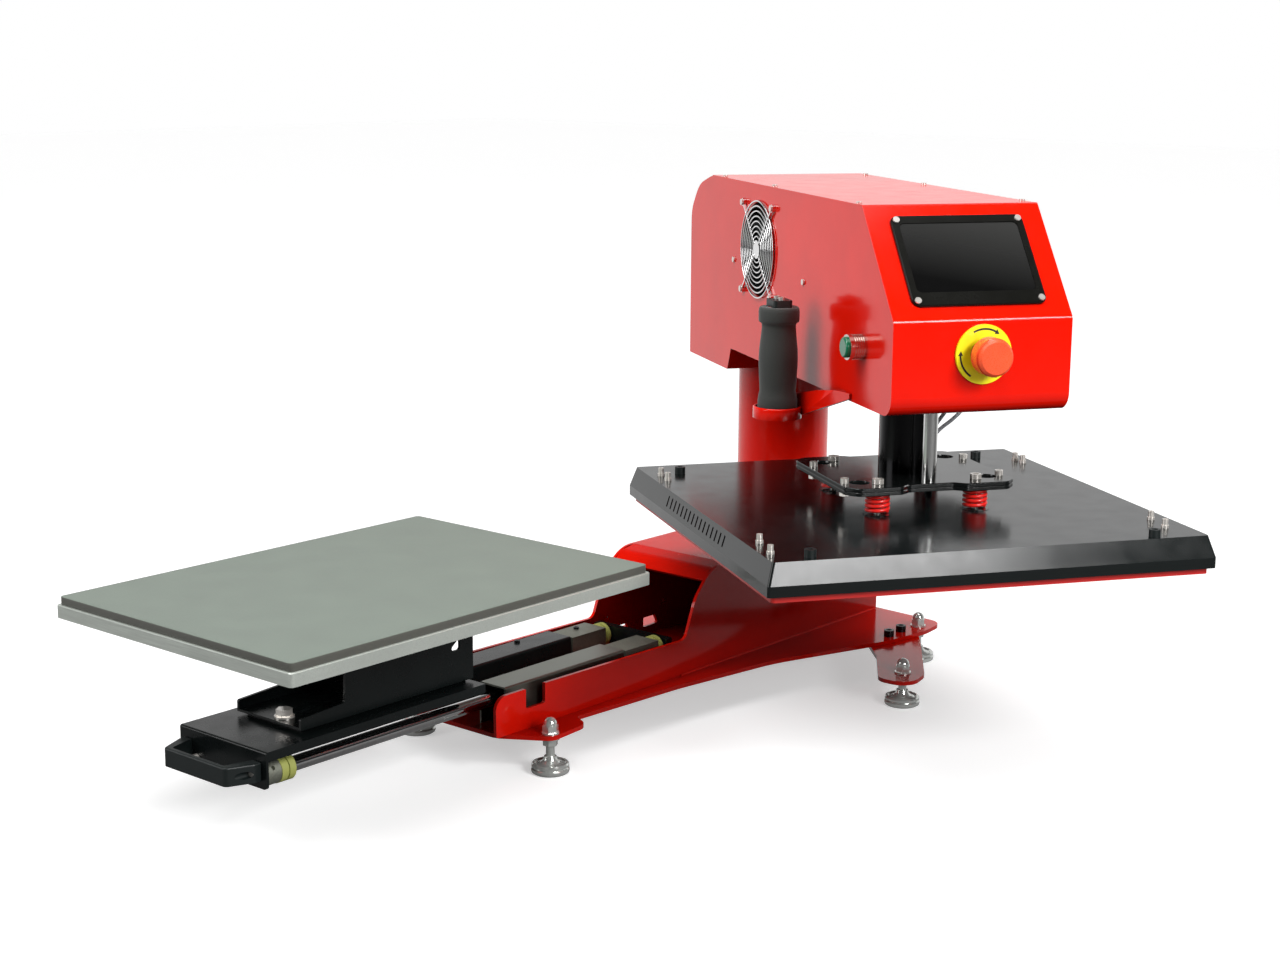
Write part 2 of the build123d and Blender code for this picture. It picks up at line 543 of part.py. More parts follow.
def fan():
    """Axial fan behind a round opening, with a wire guard outside."""
    wall = -HEAD_X
    inner = wall + HEAD_SHEET
    frame = block((inner, inner + 25), (FAN_Y - 60, FAN_Y + 60), (FAN_Z - 60, FAN_Z + 60))
    frame -= pin_x((inner - 1, inner + 26), FAN_Y, FAN_Z, 57)
    for k in range(4):
        bar = block((inner + 21, inner + 25), (18, 58), (-2.5, 2.5))
        frame += Pos(0, FAN_Y, FAN_Z) * Rot(45 + 90 * k, 0, 0) * bar
    frame += pin_x((inner + 20, inner + 25), FAN_Y, FAN_Z, 21)
    frame += pin_x((inner + 8, inner + 20), FAN_Y, FAN_Z, 4)
    add("fan_frame", frame)
    wheel = pin_x((inner + 4, inner + 19), FAN_Y, FAN_Z, 20)
    wheel -= pin_x((inner + 7.5, inner + 20), FAN_Y, FAN_Z, 4.06)
    for k in range(7):
        blade = Pos(inner + 11.5, 0, 36.5) * Rot(0, 0, 38) * Box(2, 17, 35)
        wheel += Pos(0, FAN_Y, FAN_Z) * Rot(360 / 7 * k, 0, 0) * blade
    add("fan_impeller", wheel)
    place = Pos(wall - 2.6, FAN_Y, FAN_Z) * Rot(0, 90, 0)
    guard = place * Torus(57.5, 1.0)
    for k in range(7):
        guard += place * Torus(15.5 + 6 * k, 1.0)
    guard += pin_x((wall - 3.6, wall - 2.2), FAN_Y, FAN_Z, 11)
    for k in range(4):
        spoke = block((-1.3, 1.3), (9, 74.2), (-1.1, 1.1))
        lug = pin_x((-1.3, 1.3), FAN_PITCH / sqrt(2), 0, 4.6) - pin_x((-2, 2), FAN_PITCH / sqrt(2), 0, 2.1)
        post = pin_x((-0.5, 2.6), FAN_PITCH / sqrt(2), 0, 4.6) - pin_x((-2, 3), FAN_PITCH / sqrt(2), 0, 2.1)
        arm = spoke - pin_x((-2, 3), FAN_PITCH / sqrt(2), 0, 4) + lug + post
        guard += Pos(wall - 2.6, FAN_Y, FAN_Z) * Rot(45 + 90 * k, 0, 0) * arm
    add("fan_guard", guard)


def grip():
    """Foam grip on a steel bar, standing in a cup on a tapered arm and capped above."""
    low, high = GRIP_Z
    path = [(0, low), (21.2, low), (22.2, low + 9), (20.2, low + 21), (21, low + 37), (21.8, low + 59),
            (20.2, low + 81), (19, low + 96), (19, high - 19), (22.7, high - 17), (22.7, high - 2),
            (21, high), (0, high)]
    face = make_face(Plane.XZ * Polyline(*path, close=True))
    foam = Pos(GRIP_X, GRIP_Y, 0) * revolve(face, Axis.Z)
    foam -= pin(GRIP_X, GRIP_Y, (low - 1, high + 1), 12.5)
    add("grip_foam", foam)
    cup = pin(GRIP_X, GRIP_Y, (low - 8, low + 5), CUP_R)
    cup = chamfer(cup.edges().group_by(Axis.Z)[-1], 1) - pin(GRIP_X, GRIP_Y, (low, low + 6), CUP_R - 2.4)
    cup += pin(GRIP_X, GRIP_Y, (low, high), 12.4)
    arm = [(0, low - 8, 1), (0, 409, 3), (45, 419.5, 40), (85, 425.5, 30), (118, 427, 1), (118, 421, 1)]
    along = Plane(origin=(-116.5, GRIP_Y, 0), x_dir=(0.135, -0.991, 0), z_dir=(-0.991, -0.135, 0))
    strap = extrude(along.offset(-2.5) * outline(arm), amount=5)
    cup += strap & block((-200, -HEAD_X), (-600, -300), (300, 500))
    add("grip_bracket", cup)
    cap = block((GRIP_X - 11, GRIP_X + 11), (GRIP_Y - 15, GRIP_Y + 15), (high, high + 8))
    cap = fillet(cap.edges().filter_by(Axis.Z), 4)
    add("grip_cap", cap)


def head_screws():
    """Small pan-head screws: lid, side panels, fan guard, display bezel and grip cap."""
    screws = []
    for x, y in LID_SCREWS:
        screws.append(pin(x, y, (HEAD_TOP, HEAD_TOP + 2), 3.4) + pin(x, y, (HEAD_TOP - 2, HEAD_TOP), 1.8))
    for y, z in PANEL_SCREWS:
        for side in (-1, 1):
            screws.append(pin_x(sorted((side * HEAD_X, side * (HEAD_X + 2))), y, z, 3.4))
    for dy in (-1, 1):
        for dz in (-1, 1):
            y, z = FAN_Y + dy * FAN_PITCH / 2, FAN_Z + dz * FAN_PITCH / 2
            head = pin_x((-HEAD_X - 5.9, -HEAD_X - 3.95), y, z, 3.8)
            screws.append(head + pin_x((-HEAD_X - 4, -HEAD_X), y, z, 2))
    for x in (-69, 69):
        for y in (-50, 50):
            screw = Pos(x, y, 3.8) * Cylinder(3.6, 1.6) + Pos(x, y, 1.5) * Cylinder(1.75, 3)
            screws.append(screen_place() * screw)
    for dy in (-7, 7):
        screws.append(cap_screw(GRIP_X, GRIP_Y + dy, GRIP_Z[1] + 8, 3.6, 3.4))
    add("head_screws", Compound(children=screws))


# Press
def lift_outline():
    front = [(26, -481, 6), (38, -490, 8), (88, -490, 10), (100, -476, 9)]
    back = [(100, -322, 12), (88, -308, 10), (38, -308, 8), (26, -317, 6)]
    return mirrored(front + back)


def lifting_parts():
    """Ram, its guide rod, and the doubled plate they push on."""
    low, mid, top = LIFT_PLATE
    ram = pin(0, PRESS_Y, (top, 580), RAM_R) + pin(0, PRESS_Y, (low, top), 14)
    ram += pin(0, PRESS_Y, (low - 8, low), 24)
    add("ram", ram)
    rod = pin(*GUIDE_XY, (top, CHASSIS[0] - 2), GUIDE_R)
    add("guide_rod", rod)
    layers = []
    for z in ((low, mid), (mid, top)):
        plate = slab(lift_outline(), z)
        faces = plate.edges().group_by(Axis.Z)
        plate = chamfer(faces[0] + faces[-1], 0.7)
        plate -= pin(0, PRESS_Y, z, 14.1)
        for x, y in HOLE_XY:
            plate -= pin(x, y, z, HOLE_R)
        for x, y in SPRING_XY:
            plate -= pin(x, y, z, 4.5)
        for x, y in JOIN_XY:
            plate -= pin(x, y, z, 3.1)
        for x, y in CABLE_GLAND:
            plate -= pin(x, y, z, 4.5)
        layers.append(plate)
    add("pressure_plates", Compound(children=layers))
    bolts = []
    for x, y in JOIN_XY:
        bolt = cap_screw(x, y, top, 4.6, 5.6) + pin(x, y, (low, top), 3)
        bolts.append(bolt + hexagon(x, y, (low - 5, low), 10))
    add("plate_bolts", Compound(children=bolts))


def spring_path(x, y, z0, z1):
    """Helix as pairs of arcs, one pair for each quarter turn."""
    rise = (z1 - z0) / (TURNS * 4)

    def at(k):
        a = k * pi / 2
        here = Vector(x + COIL_R * cos(a), y + COIL_R * sin(a), z0 + rise * k)
        way = Vector(-COIL_R * sin(a) * pi / 2, COIL_R * cos(a) * pi / 2, rise).normalized()
        return here, way

    arcs = []
    for k in range(TURNS * 4):
        (p, u), (q, v) = at(k), at(k + 1)
        gap = q - p
        a, b, c = 2 * (1 - u.dot(v)), 2 * gap.dot(u + v), -gap.dot(gap)
        d = (-b + sqrt(b * b - 4 * a * c)) / (2 * a)
        first, last = p + u * d, q - v * d
        middle = (first + last) * 0.5
        arcs.append(TangentArc(p, middle, tangent=u))
        arcs.append(TangentArc(middle, q, tangent=(last - first).normalized()))
    return Wire(arcs)


def springs():
    low, high = HOOD_TOP + 0.4 + WIRE_R, LIFT_PLATE[0] - 0.2 - WIRE_R
    coils = []
    for x, y in SPRING_XY:
        path = spring_path(x, y, low, high)
        coils.append(sweep(Plane(path @ 0, z_dir=path % 0) * Circle(WIRE_R), path=path))
    add("float_springs", Compound(children=coils))
    pitch = (high - low) / TURNS
    points = [(COIL_R * cos(a), COIL_R * sin(a), pitch * a / (2 * pi)) for a in
              (k * pi / 90 for k in range(TURNS * 180))]
    least = min(hypot(hypot(p[0] - q[0], p[1] - q[1]), p[2] - q[2])
                for i, p in enumerate(points) for q in points[i + 120:i + 240])
    print("spring self-gap %.2f mm" % (least - 2 * WIRE_R))


def hood_shell():
    """Cover over the heat platen: plain skirt, sloped edges and a flat top, open below."""
    def form(inset):
        i = inset
        drop = 2 * (i + HOOD_SLOPE)
        base = SKIRT_BASE - (1 if i else 0)
        skirt = pad(HOOD_X - 2 * i, HOOD_Y - 2 * i, (base, HOOD_EDGE), 3, (0, PRESS_Y))
        low = RectangleRounded(HOOD_X - 2 * i, HOOD_Y - 2 * i, 3)
        high = RectangleRounded(HOOD_X - drop, HOOD_Y - drop, 3)
        slope = loft([Pos(0, PRESS_Y, HOOD_EDGE) * low, Pos(0, PRESS_Y, HOOD_TOP - i) * high])
        return skirt + slope

    hood = form(0) - form(HOOD_SHEET)
    slope = HOOD_TOP - HOOD_EDGE
    for k in range(16):
        y = -300 - k * 13.6
        for side in (-1, 1):
            slot = block((-3.5, 3.5), (y - 2, y + 2), (-8, 8))
            tilt = Rot(0, side * 17, 0)
            hood -= Pos(side * (HOOD_X / 2 - HOOD_SLOPE / 2), 0, HOOD_EDGE + slope / 2) * tilt * slot
    for x, y in SPRING_XY:
        hood -= pin(x, y, (280, 292), 16)
    for x, y in CABLE_GLAND:
        hood -= pin(x, y, (280, 292), 3.2)
    for x, y in HOOD_SCREWS + HOOD_CAPS:
        hood -= pin(x, y, (280, 292), 2.6)
    add("hood_shell", hood)


def heater():
    z = BAND_BASE
    band = pad(488, 498, (z + 0.6, SKIRT_BASE + 6), 4, (0, PRESS_Y))
    band -= pad(484, 494, (z + 2.6, SKIRT_BASE + 7), 3, (0, PRESS_Y))
    band -= pad(377, 487, (z, z + 4), 4, (0, PRESS_Y))
    add("insulation_band", band)
    platen = pad(376, 486, (z, z + 25), 4, (0, PRESS_Y))
    for x, y in SPRING_XY:
        platen -= pin(x, y, (z + 12, z + 26), 4.05)
    for x, y in HOOD_SCREWS_IN:
        platen -= pin(x, y, (z + 12, z + 26), 2.55)
    add("heat_platen", platen)
    run = [(-150, -600), (-150, -200), (-100, -200), (-100, -600), (-20, -600), (-20, -200), (20, -200),
           (20, -600), (100, -600), (100, -200), (150, -200), (150, -600)]
    path = Plane.XY.offset(z + 29.1) * FilletPolyline(*run, radius=19)
    add("heater_element", sweep(Plane(path @ 0, z_dir=path % 0) * Circle(4), path=path))


def hood_fasteners():
    screws = []
    for x, y in HOOD_SCREWS:
        post = pin(x, y, (HOOD_TOP, HOOD_TOP + 3), 4.2) + cap_screw(x, y, HOOD_TOP + 3, 3.2, 6.5)
        screws.append(post + pin(x, y, (HOOD_TOP - 6, HOOD_TOP), 2.5))
    add("hood_screws", Compound(children=screws))
    caps = []
    for x, y in HOOD_CAPS:
        cap = pin(x, y, (HOOD_TOP, HOOD_TOP + 8), 6.2) - hexagon(x, y, (HOOD_TOP + 4, HOOD_TOP + 9), 6)
        caps.append(cap + pin(x, y, (HOOD_TOP - 6, HOOD_TOP), 2.5))
    for x, y in CABLE_GLAND:
        gland = pin(x, y, (HOOD_TOP, HOOD_TOP + 9), 4) + pin(x, y, (HOOD_TOP - 6, HOOD_TOP), 3.1)
        caps.append(gland)
    add("hood_caps", Compound(children=caps))
    bolts = []
    for x, y in SPRING_XY:
        head = cap_screw(x, y, LIFT_PLATE[2] + 0.3, 6.4, 5.4)
        bolts.append(head + pin(x, y, (BAND_BASE + 14, LIFT_PLATE[2] + 0.3), 4))
        seat = pin(x, y, (BAND_BASE + 25, HOOD_TOP + 0.4), 15.6) - pin(x, y, (250, 300), 4.2)
        bolts.append(seat)
    add("float_bolts", Compound(children=bolts))


def cables():
    """Heater supply and sensor leads, from the head's underside to the hood."""
    leads = []
    top = HEAD_UNDER + 1.5
    base = HOOD_TOP + 9
    (x1, y1), (x2, y2) = CABLE_EXIT
    (u1, v1), (u2, v2) = CABLE_GLAND
    routes = [
        [(x1, y1, top), (x1, y1, 400), (57, -381, 384), (u1, v1, 368), (u1, v1, 330), (u1, v1, base)],
        [(x2, y2, top), (x2, y2, 400), (74, -378, 376), (u2, v2, 356), (u2, v2, 326), (u2, v2, base)],
    ]
    for route in routes:
        path = FilletPolyline(*route[:5], radius=[9, 12, 14])
        lead = sweep(Plane(path @ 0, z_dir=path % 0) * Circle(CABLE_R), path=path)
        x, y, z = route[4]
        leads.append(lead + pin(x, y, (route[5][2], z), CABLE_R))
    add("heater_cables", Compound(children=leads))


# Assembly
base_plates()
side_plates()
bridge()
base_screws()
levelling_feet()
guides()
column()
base_nodes = list(parts)

drawer_deck()
drawer_handle()
drawer_screws()
slide_rods()
platen_tray()
lower_platen()
drawer_nodes = [name for name in parts if name not in base_nodes]

head_housing()
screen()
chassis()
electronics()
emergency_stop()
start_button()
fan()
grip()
head_screws()
lifting_parts()
springs()
hood_shell()
heater()
hood_fasteners()
cables()

swing = Rot(0, 0, HEAD_OUT)
for name in parts:
    if name not in base_nodes and name not in drawer_nodes:
        parts[name] = swing * parts[name]

boxes = [shape.bounding_box() for shape in parts.values()]
mid_x = (min(b.min.X for b in boxes) + max(b.max.X for b in boxes)) / 2
mid_y = (min(b.min.Y for b in boxes) + max(b.max.Y for b in boxes)) / 2
shift = Pos(-mid_x, -mid_y, 0)

os.makedirs("parts", exist_ok=True)
for name, shape in parts.items():
    export_step(shift * shape, f"parts/{name}.step")
print("nodes %d, column axis at (%.4f, %.4f)" % (len(parts), -mid_x, -mid_y))
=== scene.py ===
"""Looks of a swing-away heat press: materials, soft and wound pieces, studio and camera. Metres."""
from math import cos, pi, radians, sin

import bmesh
import bpy
from mathutils import Matrix, Vector

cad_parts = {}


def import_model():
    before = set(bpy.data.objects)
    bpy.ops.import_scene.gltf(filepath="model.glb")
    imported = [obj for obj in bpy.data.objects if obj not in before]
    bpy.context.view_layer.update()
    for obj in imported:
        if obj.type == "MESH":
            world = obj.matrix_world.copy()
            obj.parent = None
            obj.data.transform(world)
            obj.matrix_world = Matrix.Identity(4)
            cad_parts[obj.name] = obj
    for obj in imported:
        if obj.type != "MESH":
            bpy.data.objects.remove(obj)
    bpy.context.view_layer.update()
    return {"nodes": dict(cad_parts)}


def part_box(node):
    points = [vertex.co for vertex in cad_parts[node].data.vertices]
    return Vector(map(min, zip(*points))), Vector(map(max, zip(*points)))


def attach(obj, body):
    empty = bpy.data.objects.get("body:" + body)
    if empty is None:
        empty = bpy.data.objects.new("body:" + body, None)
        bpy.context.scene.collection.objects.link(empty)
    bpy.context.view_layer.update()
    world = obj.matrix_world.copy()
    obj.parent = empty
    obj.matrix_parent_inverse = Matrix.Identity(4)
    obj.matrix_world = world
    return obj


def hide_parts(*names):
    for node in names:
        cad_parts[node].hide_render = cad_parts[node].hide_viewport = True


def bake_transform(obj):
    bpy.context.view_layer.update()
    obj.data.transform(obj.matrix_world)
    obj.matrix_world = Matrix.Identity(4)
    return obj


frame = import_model()
nodes = frame["nodes"]

# Places. The column's axis is the centre of the machine's own axes. The head is drawn in line with
# the drawer, before it swings out.
COLUMN = Vector((-0.2473771, 0.4297618, 0.0))
HEAD_OUT = radians(56.34)
COS, SIN = cos(HEAD_OUT), sin(HEAD_OUT)
UP = Vector((0, 0, 1))


def base(x, y, z):
    """Machine millimetres to metres in the shared frame."""
    return COLUMN + Vector((x, y, z)) / 1000


def head(x, y, z):
    """Head millimetres, before the swing, to metres in the shared frame."""
    return base(COS * x - SIN * y, SIN * x + COS * y, z)


# Mesh helpers
def ring_faces(bm, rings):
    """Joins each closed ring of points to the next one."""
    for low, high in zip(rings, rings[1:]):
        for k in range(len(low)):
            after = (k + 1) % len(low)
            bm.faces.new((low[k], low[after], high[after], high[k]))


def caps(bm, rings):
    """Closes the first and the last ring."""
    bm.faces.new(list(reversed(rings[0])))
    bm.faces.new(rings[-1])


def finished(bm, name):
    """The mesh, with its faces turned outwards."""
    bmesh.ops.recalc_face_normals(bm, faces=bm.faces)
    mesh = bpy.data.meshes.new(name)
    bm.to_mesh(mesh)
    bm.free()
    return mesh


def new_object(name, mesh, body, material, smooth=True):
    """Object of one material that rides on a body, or on none if it blends between two."""
    obj = bpy.data.objects.new(name, mesh)
    bpy.context.scene.collection.objects.link(obj)
    mesh.materials.append(material)
    for poly in mesh.polygons:
        poly.use_smooth = smooth
    if body:
        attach(obj, body)
    return obj


# Node trees
class Tree:
    """Short forms for building the node tree of a material or a world."""

    def __init__(self, owner):
        owner.use_nodes = True
        self.tree = owner.node_tree

    def feed(self, socket, value):
        """Gives a socket a value, or links another node's output to it."""
        if isinstance(value, bpy.types.NodeSocket):
            self.tree.links.new(value, socket)
        else:
            socket.default_value = value

    def add(self, kind, inputs=None, **settings):
        """New node, with its settings made and its inputs fed."""
        node = self.tree.nodes.new(kind)
        for key, value in settings.items():
            setattr(node, key, value)
        for key, value in (inputs or {}).items():
            self.feed(node.inputs[key], value)
        return node

    def maths(self, operation, *values):
        node = self.add("ShaderNodeMath", dict(enumerate(values)), operation=operation)
        return node.outputs["Value"]

    def dot(self, first, second):
        node = self.add("ShaderNodeVectorMath", {0: first, 1: second}, operation="DOT_PRODUCT")
        return node.outputs["Value"]

    def span(self, value, low, high, from_low=0.3, from_high=0.7, steps="LINEAR"):
        """A value's range drawn out to another one, and held at its ends. Noise fills 0.3 to 0.7."""
        limits = {"Value": value, "From Min": from_low, "From Max": from_high,
                  "To Min": low, "To Max": high}
        return self.add("ShaderNodeMapRange", limits, interpolation_type=steps).outputs["Result"]

    def smooth(self, value, from_low, from_high, low, high):
        """The same with a soft start and end: low at from_low, high at from_high."""
        return self.span(value, low, high, from_low, from_high, "SMOOTHSTEP")

    def mix(self, factor, first, second):
        """Colour between two others, each a colour or a socket."""
        node = self.add("ShaderNodeMix", {"Factor": factor}, data_type="RGBA")
        for key, value in (("A", first), ("B", second)):
            socket = next(s for s in node.inputs if s.name == key and s.type == "RGBA")
            self.feed(socket, (*value, 1) if isinstance(value, tuple) else value)
        return next(s for s in node.outputs if s.type == "RGBA")

    def reflected(self, path):
        """1 for the rays that a reflection or a pane sends out, and 0 for the others."""
        return self.maths("MAXIMUM", path["Is Glossy Ray"], path["Is Transmission Ray"])


class Nodes(Tree):
    """One material, on object coordinates."""

    def __init__(self, name):
        self.material = bpy.data.materials.new(name)
        super().__init__(self.material)
        self.shader = self.tree.nodes["Principled BSDF"]
        self.coords = self.add("ShaderNodeTexCoord").outputs["Object"]

    def noise(self, scale, detail=3.0, vector=None, rough=0.5):
        inputs = {"Scale": scale, "Detail": detail, "Roughness": rough,
                  "Vector": vector or self.coords}
        return self.add("ShaderNodeTexNoise", inputs).outputs["Fac"]

    def clouds(self, scale, detail, colour, vary):
        """Colour with a slight change of shade."""
        cloud = self.span(self.noise(scale, detail), 0, 1)
        return self.mix(cloud, tint(colour, 1 - vary), tint(colour, 1 + vary))

    def painted_recess_shade(self, colour):
        """Painted shade: colour made darker where other surfaces close round it, within the reach.
        """
        reach, closed, open_sky, most = 0.3, 0.2, 0.8, 0.75
        sky = self.add("ShaderNodeAmbientOcclusion", {"Distance": reach}, samples=6).outputs["AO"]
        return self.mix(self.span(sky, most, 0, closed, open_sky), colour, (0.02, 0.0, 0.0))

    def bump(self, height, distance, normal=None):
        inputs = {"Distance": distance, "Strength": 1.0, "Height": height}
        if normal:
            inputs["Normal"] = normal
        return self.add("ShaderNodeBump", inputs).outputs["Normal"]

    def set(self, **values):
        """Feeds the shader's sockets: Base_Color=..., Roughness=... and so on."""
        for key, value in values.items():
            self.feed(self.shader.inputs[key.replace("_", " ")], value)


def tint(colour, factor):
    """Colour made darker or lighter by a factor."""
    return tuple(min(1.0, c * factor) for c in colour)


# Materials
def paint(name, colour, rough, coat=0.0, coat_rough=0.2, peel=0.000003, vary=0.08, level=0.5,
          painted_recess_shade=False):
    """Sprayed coat: slight change of shade, orange peel, dust that dulls it in places, and, where
    asked, painted shade in its recesses.
    """
    n = Nodes(name)
    shade = n.clouds(9, 4, colour, vary)
    ripple = n.bump(n.noise(1400, 1), peel)
    n.set(Base_Color=n.painted_recess_shade(shade) if painted_recess_shade else shade, Roughness=n.span(n.noise(35, 5), *rough),
          Specular_IOR_Level=level, Normal=ripple,
          Coat_Weight=coat, Coat_Roughness=coat_rough, Coat_Normal=ripple)
    return n.material


def brushed(name, colour, rough, stretch, depth=0.00002, metallic=1.0, vary=0.12):
    """Metal with fine parallel marks, drawn out along the axis with the least stretch."""
    n = Nodes(name)
    drawn = n.add("ShaderNodeMapping", {"Vector": n.coords, "Scale": stretch}).outputs["Vector"]
    marks = n.noise(1, 4, drawn, 0.65)
    grain = n.mix(n.span(marks, 0, 1), tint(colour, 1 - vary), tint(colour, 1 + vary))
    n.set(Base_Color=n.mix(n.span(n.noise(14, 3), 0, 0.5), grain, tint(colour, 0.86)),
          Roughness=n.span(marks, *rough), Normal=n.bump(marks, depth), Metallic=metallic)
    return n.material


def plastic(name, colour, rough, grain=0.00001, scale=900, coat=0.0):
    """Moulded plastic with a spark-eroded grain."""
    n = Nodes(name)
    fine = n.noise(scale, 2)
    n.set(Base_Color=n.clouds(40, 3, colour, 0.12), Roughness=n.span(fine, *rough),
          Normal=n.bump(fine, grain), Coat_Weight=coat, Coat_Roughness=0.05)
    return n.material


def cast(name, colour, metallic):
    """Rough cast or sand-blasted metal."""
    n = Nodes(name)
    pits = n.noise(420, 4, rough=0.7)
    n.set(Base_Color=n.mix(n.span(pits, 0, 1), tint(colour, 0.82), tint(colour, 1.12)),
          Roughness=n.span(n.noise(60, 4), 0.4, 0.62), Normal=n.bump(pits, 0.00012),
          Metallic=metallic)
    return n.material


def rubber(name, colour, pore, scale, rough, vary=0.12, sheen=0.0, side=None):
    """Foam or sponge rubber: pores, blotches and a dull face, with painted shade: another colour on
    the sides that don't face up.
    """
    n = Nodes(name)
    foam = n.add("ShaderNodeTexVoronoi", {"Scale": scale, "Vector": n.coords}, feature="F1")
    cells = foam.outputs["Distance"]
    cloud = n.noise(22, 5)
    shade = n.mix(n.span(cloud, 0, 1), tint(colour, 1 - vary), tint(colour, 1 + vary))
    shade = n.mix(n.span(cells, 0, 0.25, 0.2, 0.7), shade, tint(colour, 1.35))
    # Painted shade: faces that don't turn up take the darker side colour.
    if side:
        normal = n.add("ShaderNodeTexCoord").outputs["Normal"]
        upward = n.add("ShaderNodeSeparateXYZ", {"Vector": normal}).outputs["Z"]
        shade = n.mix(n.span(upward, 0, 1, 0.3, 0.8), side, shade)
    n.set(Base_Color=shade, Roughness=n.span(cloud, *rough),
          Normal=n.bump(cells, pore, n.bump(n.noise(160, 3), pore * 0.8)),
          Sheen_Weight=sheen, Sheen_Roughness=0.5)
    return n.material


def glass_black(name):
    """Display glass: black, with a painted sheen (a lighter colour) towards its top right and faint
    finger marks.
    """
    n = Nodes(name)
    sheen = n.dot(n.add("ShaderNodeTexCoord").outputs["Generated"], (0, 0.35, 0.65))
    shade = n.mix(n.span(sheen, 0, 1, 0.2, 0.95), (0.004, 0.004, 0.004), (0.032, 0.032, 0.031))
    n.set(Base_Color=shade, Roughness=n.span(n.noise(55, 6, rough=0.6), 0.07, 0.09),
          Coat_Weight=0.2, Coat_Roughness=0.05, IOR=1.5)
    return n.material


RED = (0.86, 0.008, 0.001)
M = {
    # The two red enamels paint shade into their recesses.
    "red": paint("red_enamel", RED, (0.10, 0.15), level=0.34, painted_recess_shade=True),
    "red_cover": paint("red_enamel_cover", RED, (0.2, 0.28), level=0.1, painted_recess_shade=True),
    "red_satin": paint("red_enamel_matt", (0.55, 0.012, 0.01), (0.4, 0.5), coat=0.2),
    "spring": paint("spring_enamel", (0.85, 0.014, 0.01), (0.3, 0.42), coat=0.3, coat_rough=0.15),
    "black": paint("black_powder_coat", (0.004, 0.006, 0.006), (0.24, 0.32), vary=0.2, level=0.4),
    "hood": paint("dark_hood_coat", (0.003, 0.005, 0.005), (0.16, 0.22), peel=0.000006, vary=0.2),
    "plate_black": paint("black_gloss_coat", (0.006, 0.007, 0.007), (0.12, 0.18)),
    "bezel": paint("bezel_coat", (0.006, 0.006, 0.005), (0.2, 0.3), level=0.12),

    "ram": brushed("blued_steel", (0.02, 0.02, 0.021), (0.12, 0.2), (600, 600, 30), vary=0.25),
    "zinc": brushed("zinc_plated_sheet", (0.27, 0.28, 0.24), (0.3, 0.42), (900, 25, 900)),
    "platen": brushed("milled_aluminium", (0.60, 0.64, 0.59), (0.34, 0.46), (25, 900, 900),
                      metallic=0.55),
    "rod": brushed("hard_chrome", (0.82, 0.82, 0.82), (0.05, 0.11), (60, 1200, 60), 0.000004),
    "guide": brushed("ground_rod", (0.75, 0.75, 0.74), (0.07, 0.14), (60, 60, 1200), 0.000004),
    "wire": brushed("bright_wire", (0.85, 0.85, 0.85), (0.08, 0.16), (700, 700, 700), 0.00001),
    "stainless": brushed("stainless_screws", (0.80, 0.76, 0.71), (0.12, 0.22), (400, 400, 150),
                         depth=0.000002, metallic=0.6, vary=0.06),
    "foot": brushed("plated_feet", (0.80, 0.82, 0.79), (0.12, 0.2), (90, 90, 900),
                    depth=0.000001, metallic=0.7, vary=0.04),
    "dark_screw": brushed("black_oxide_screws", (0.03, 0.03, 0.032), (0.22, 0.34), (500, 500, 500)),
    "machined": brushed("turned_steel", (0.55, 0.55, 0.54), (0.2, 0.34), (200, 200, 900)),
    "nickel": brushed("nickel_collar", (0.70, 0.66, 0.60), (0.14, 0.24), (400, 400, 400)),
    "bronze": brushed("bearing_bronze", (0.62, 0.42, 0.18), (0.3, 0.4), (300, 300, 900)),
    "cast": cast("cast_aluminium", (0.28, 0.29, 0.24), 0.8),
    "iron": cast("cast_heat_plate", (0.30, 0.30, 0.30), 0.85),

    "plastic": plastic("black_moulding", (0.005, 0.009, 0.009), (0.4, 0.5), 0.00004, 1800),
    "stop_red": plastic("stop_red", (0.92, 0.10, 0.03), (0.25, 0.33), coat=0.4),
    "stop_yellow": plastic("stop_yellow", (1.0, 0.84, 0.006), (0.3, 0.4), coat=0.2),
    "green": plastic("green_lens", (0.0, 0.16, 0.07), (0.12, 0.2), scale=600, coat=0.5),
    "cable": plastic("cable_sheath", (0.50, 0.51, 0.54), (0.36, 0.48), grain=0.00002),
    "circuit": plastic("circuit_board", (0.01, 0.10, 0.04), (0.3, 0.4), grain=0.00003, scale=700),
    "ink": plastic("black_print", (0.01, 0.01, 0.01), (0.4, 0.5)),
    "glass": glass_black("display_glass"),

    "bumper": rubber("bumper_rubber", (0.36, 0.38, 0.10), 0.00003, 1500, (0.4, 0.5)),
    "pad": rubber("silicone_sponge", (0.132, 0.163, 0.134), 0.00004, 1500, (0.62, 0.78),
                  vary=0.06, sheen=0.15, side=(0.08, 0.08, 0.068)),
    "foam": rubber("grip_foam", (0.024, 0.027, 0.024), 0.00012, 1100, (0.6, 0.78),
                   vary=0.2, sheen=0.25),
}

